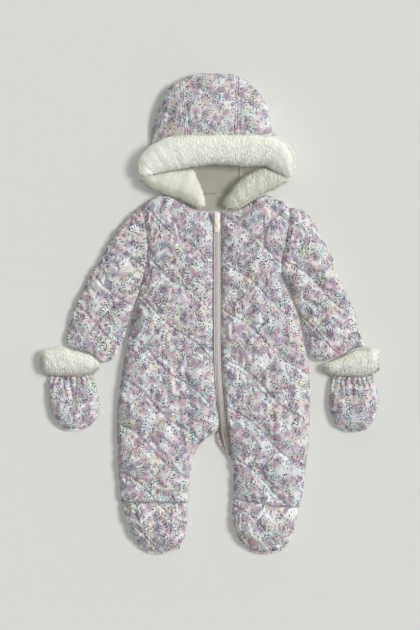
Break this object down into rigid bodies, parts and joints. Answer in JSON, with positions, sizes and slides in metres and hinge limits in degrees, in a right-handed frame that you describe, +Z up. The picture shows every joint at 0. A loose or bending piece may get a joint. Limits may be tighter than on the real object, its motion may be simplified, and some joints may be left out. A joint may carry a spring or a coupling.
{
  "type": "baby snowsuit",
  "caption": "Padded one-piece baby snowsuit laid flat on its back: quilted floral cloth, fur-edged hood, fur cuffs, attached mittens, closed feet and a front zip with a hinged pull.",
  "frame": {"origin": "the middle of the laid-out suit's outline, on the surface it lies on", "axes": "+Z up off the surface, +Y from the feet to the hood, +X to the wearer's left"},
  "size_m": [0.583, 0.8155, 0.063],
  "materials": {
    "shell": "matt printed woven polyester",
    "fur": "soft off-white pile",
    "lining": "short fleece",
    "zip": "woven tape",
    "slider": "satin enamel"
  },
  "bodies": {
    "garment": {"hood_center": "shell", "hood_right": "shell", "hood_left": "shell", "hood_lining": "lining", "neck_lining": "lining", "fur_hood_top": "fur", "fur_hood_right": "fur", "fur_hood_left": "fur", "front_right": "shell", "front_left": "shell", "back_right": "shell", "back_left": "shell", "sleeve_right": "shell", "sleeve_left": "shell", "fur_cuff_right": "fur", "fur_cuff_left": "fur", "mitten_right": "shell", "mitten_left": "shell", "foot_upper_right": "shell", "foot_upper_left": "shell", "sole_right": "shell", "sole_left": "shell", "zip_tape_right": "zip", "zip_tape_left": "zip", "zip_slider": "slider", "chin_guard": "shell"},
    "pull_tab": {"zip_pull": "slider"}
  },
  "joints": [
    {"name": "pull_swing", "type": "hinge", "parent": "garment", "child": "pull_tab", "pos_m": [0.0128, 0.15125, 0.0328], "axis": [1, 0, 0], "range_deg": [0, 170]}
  ]
}
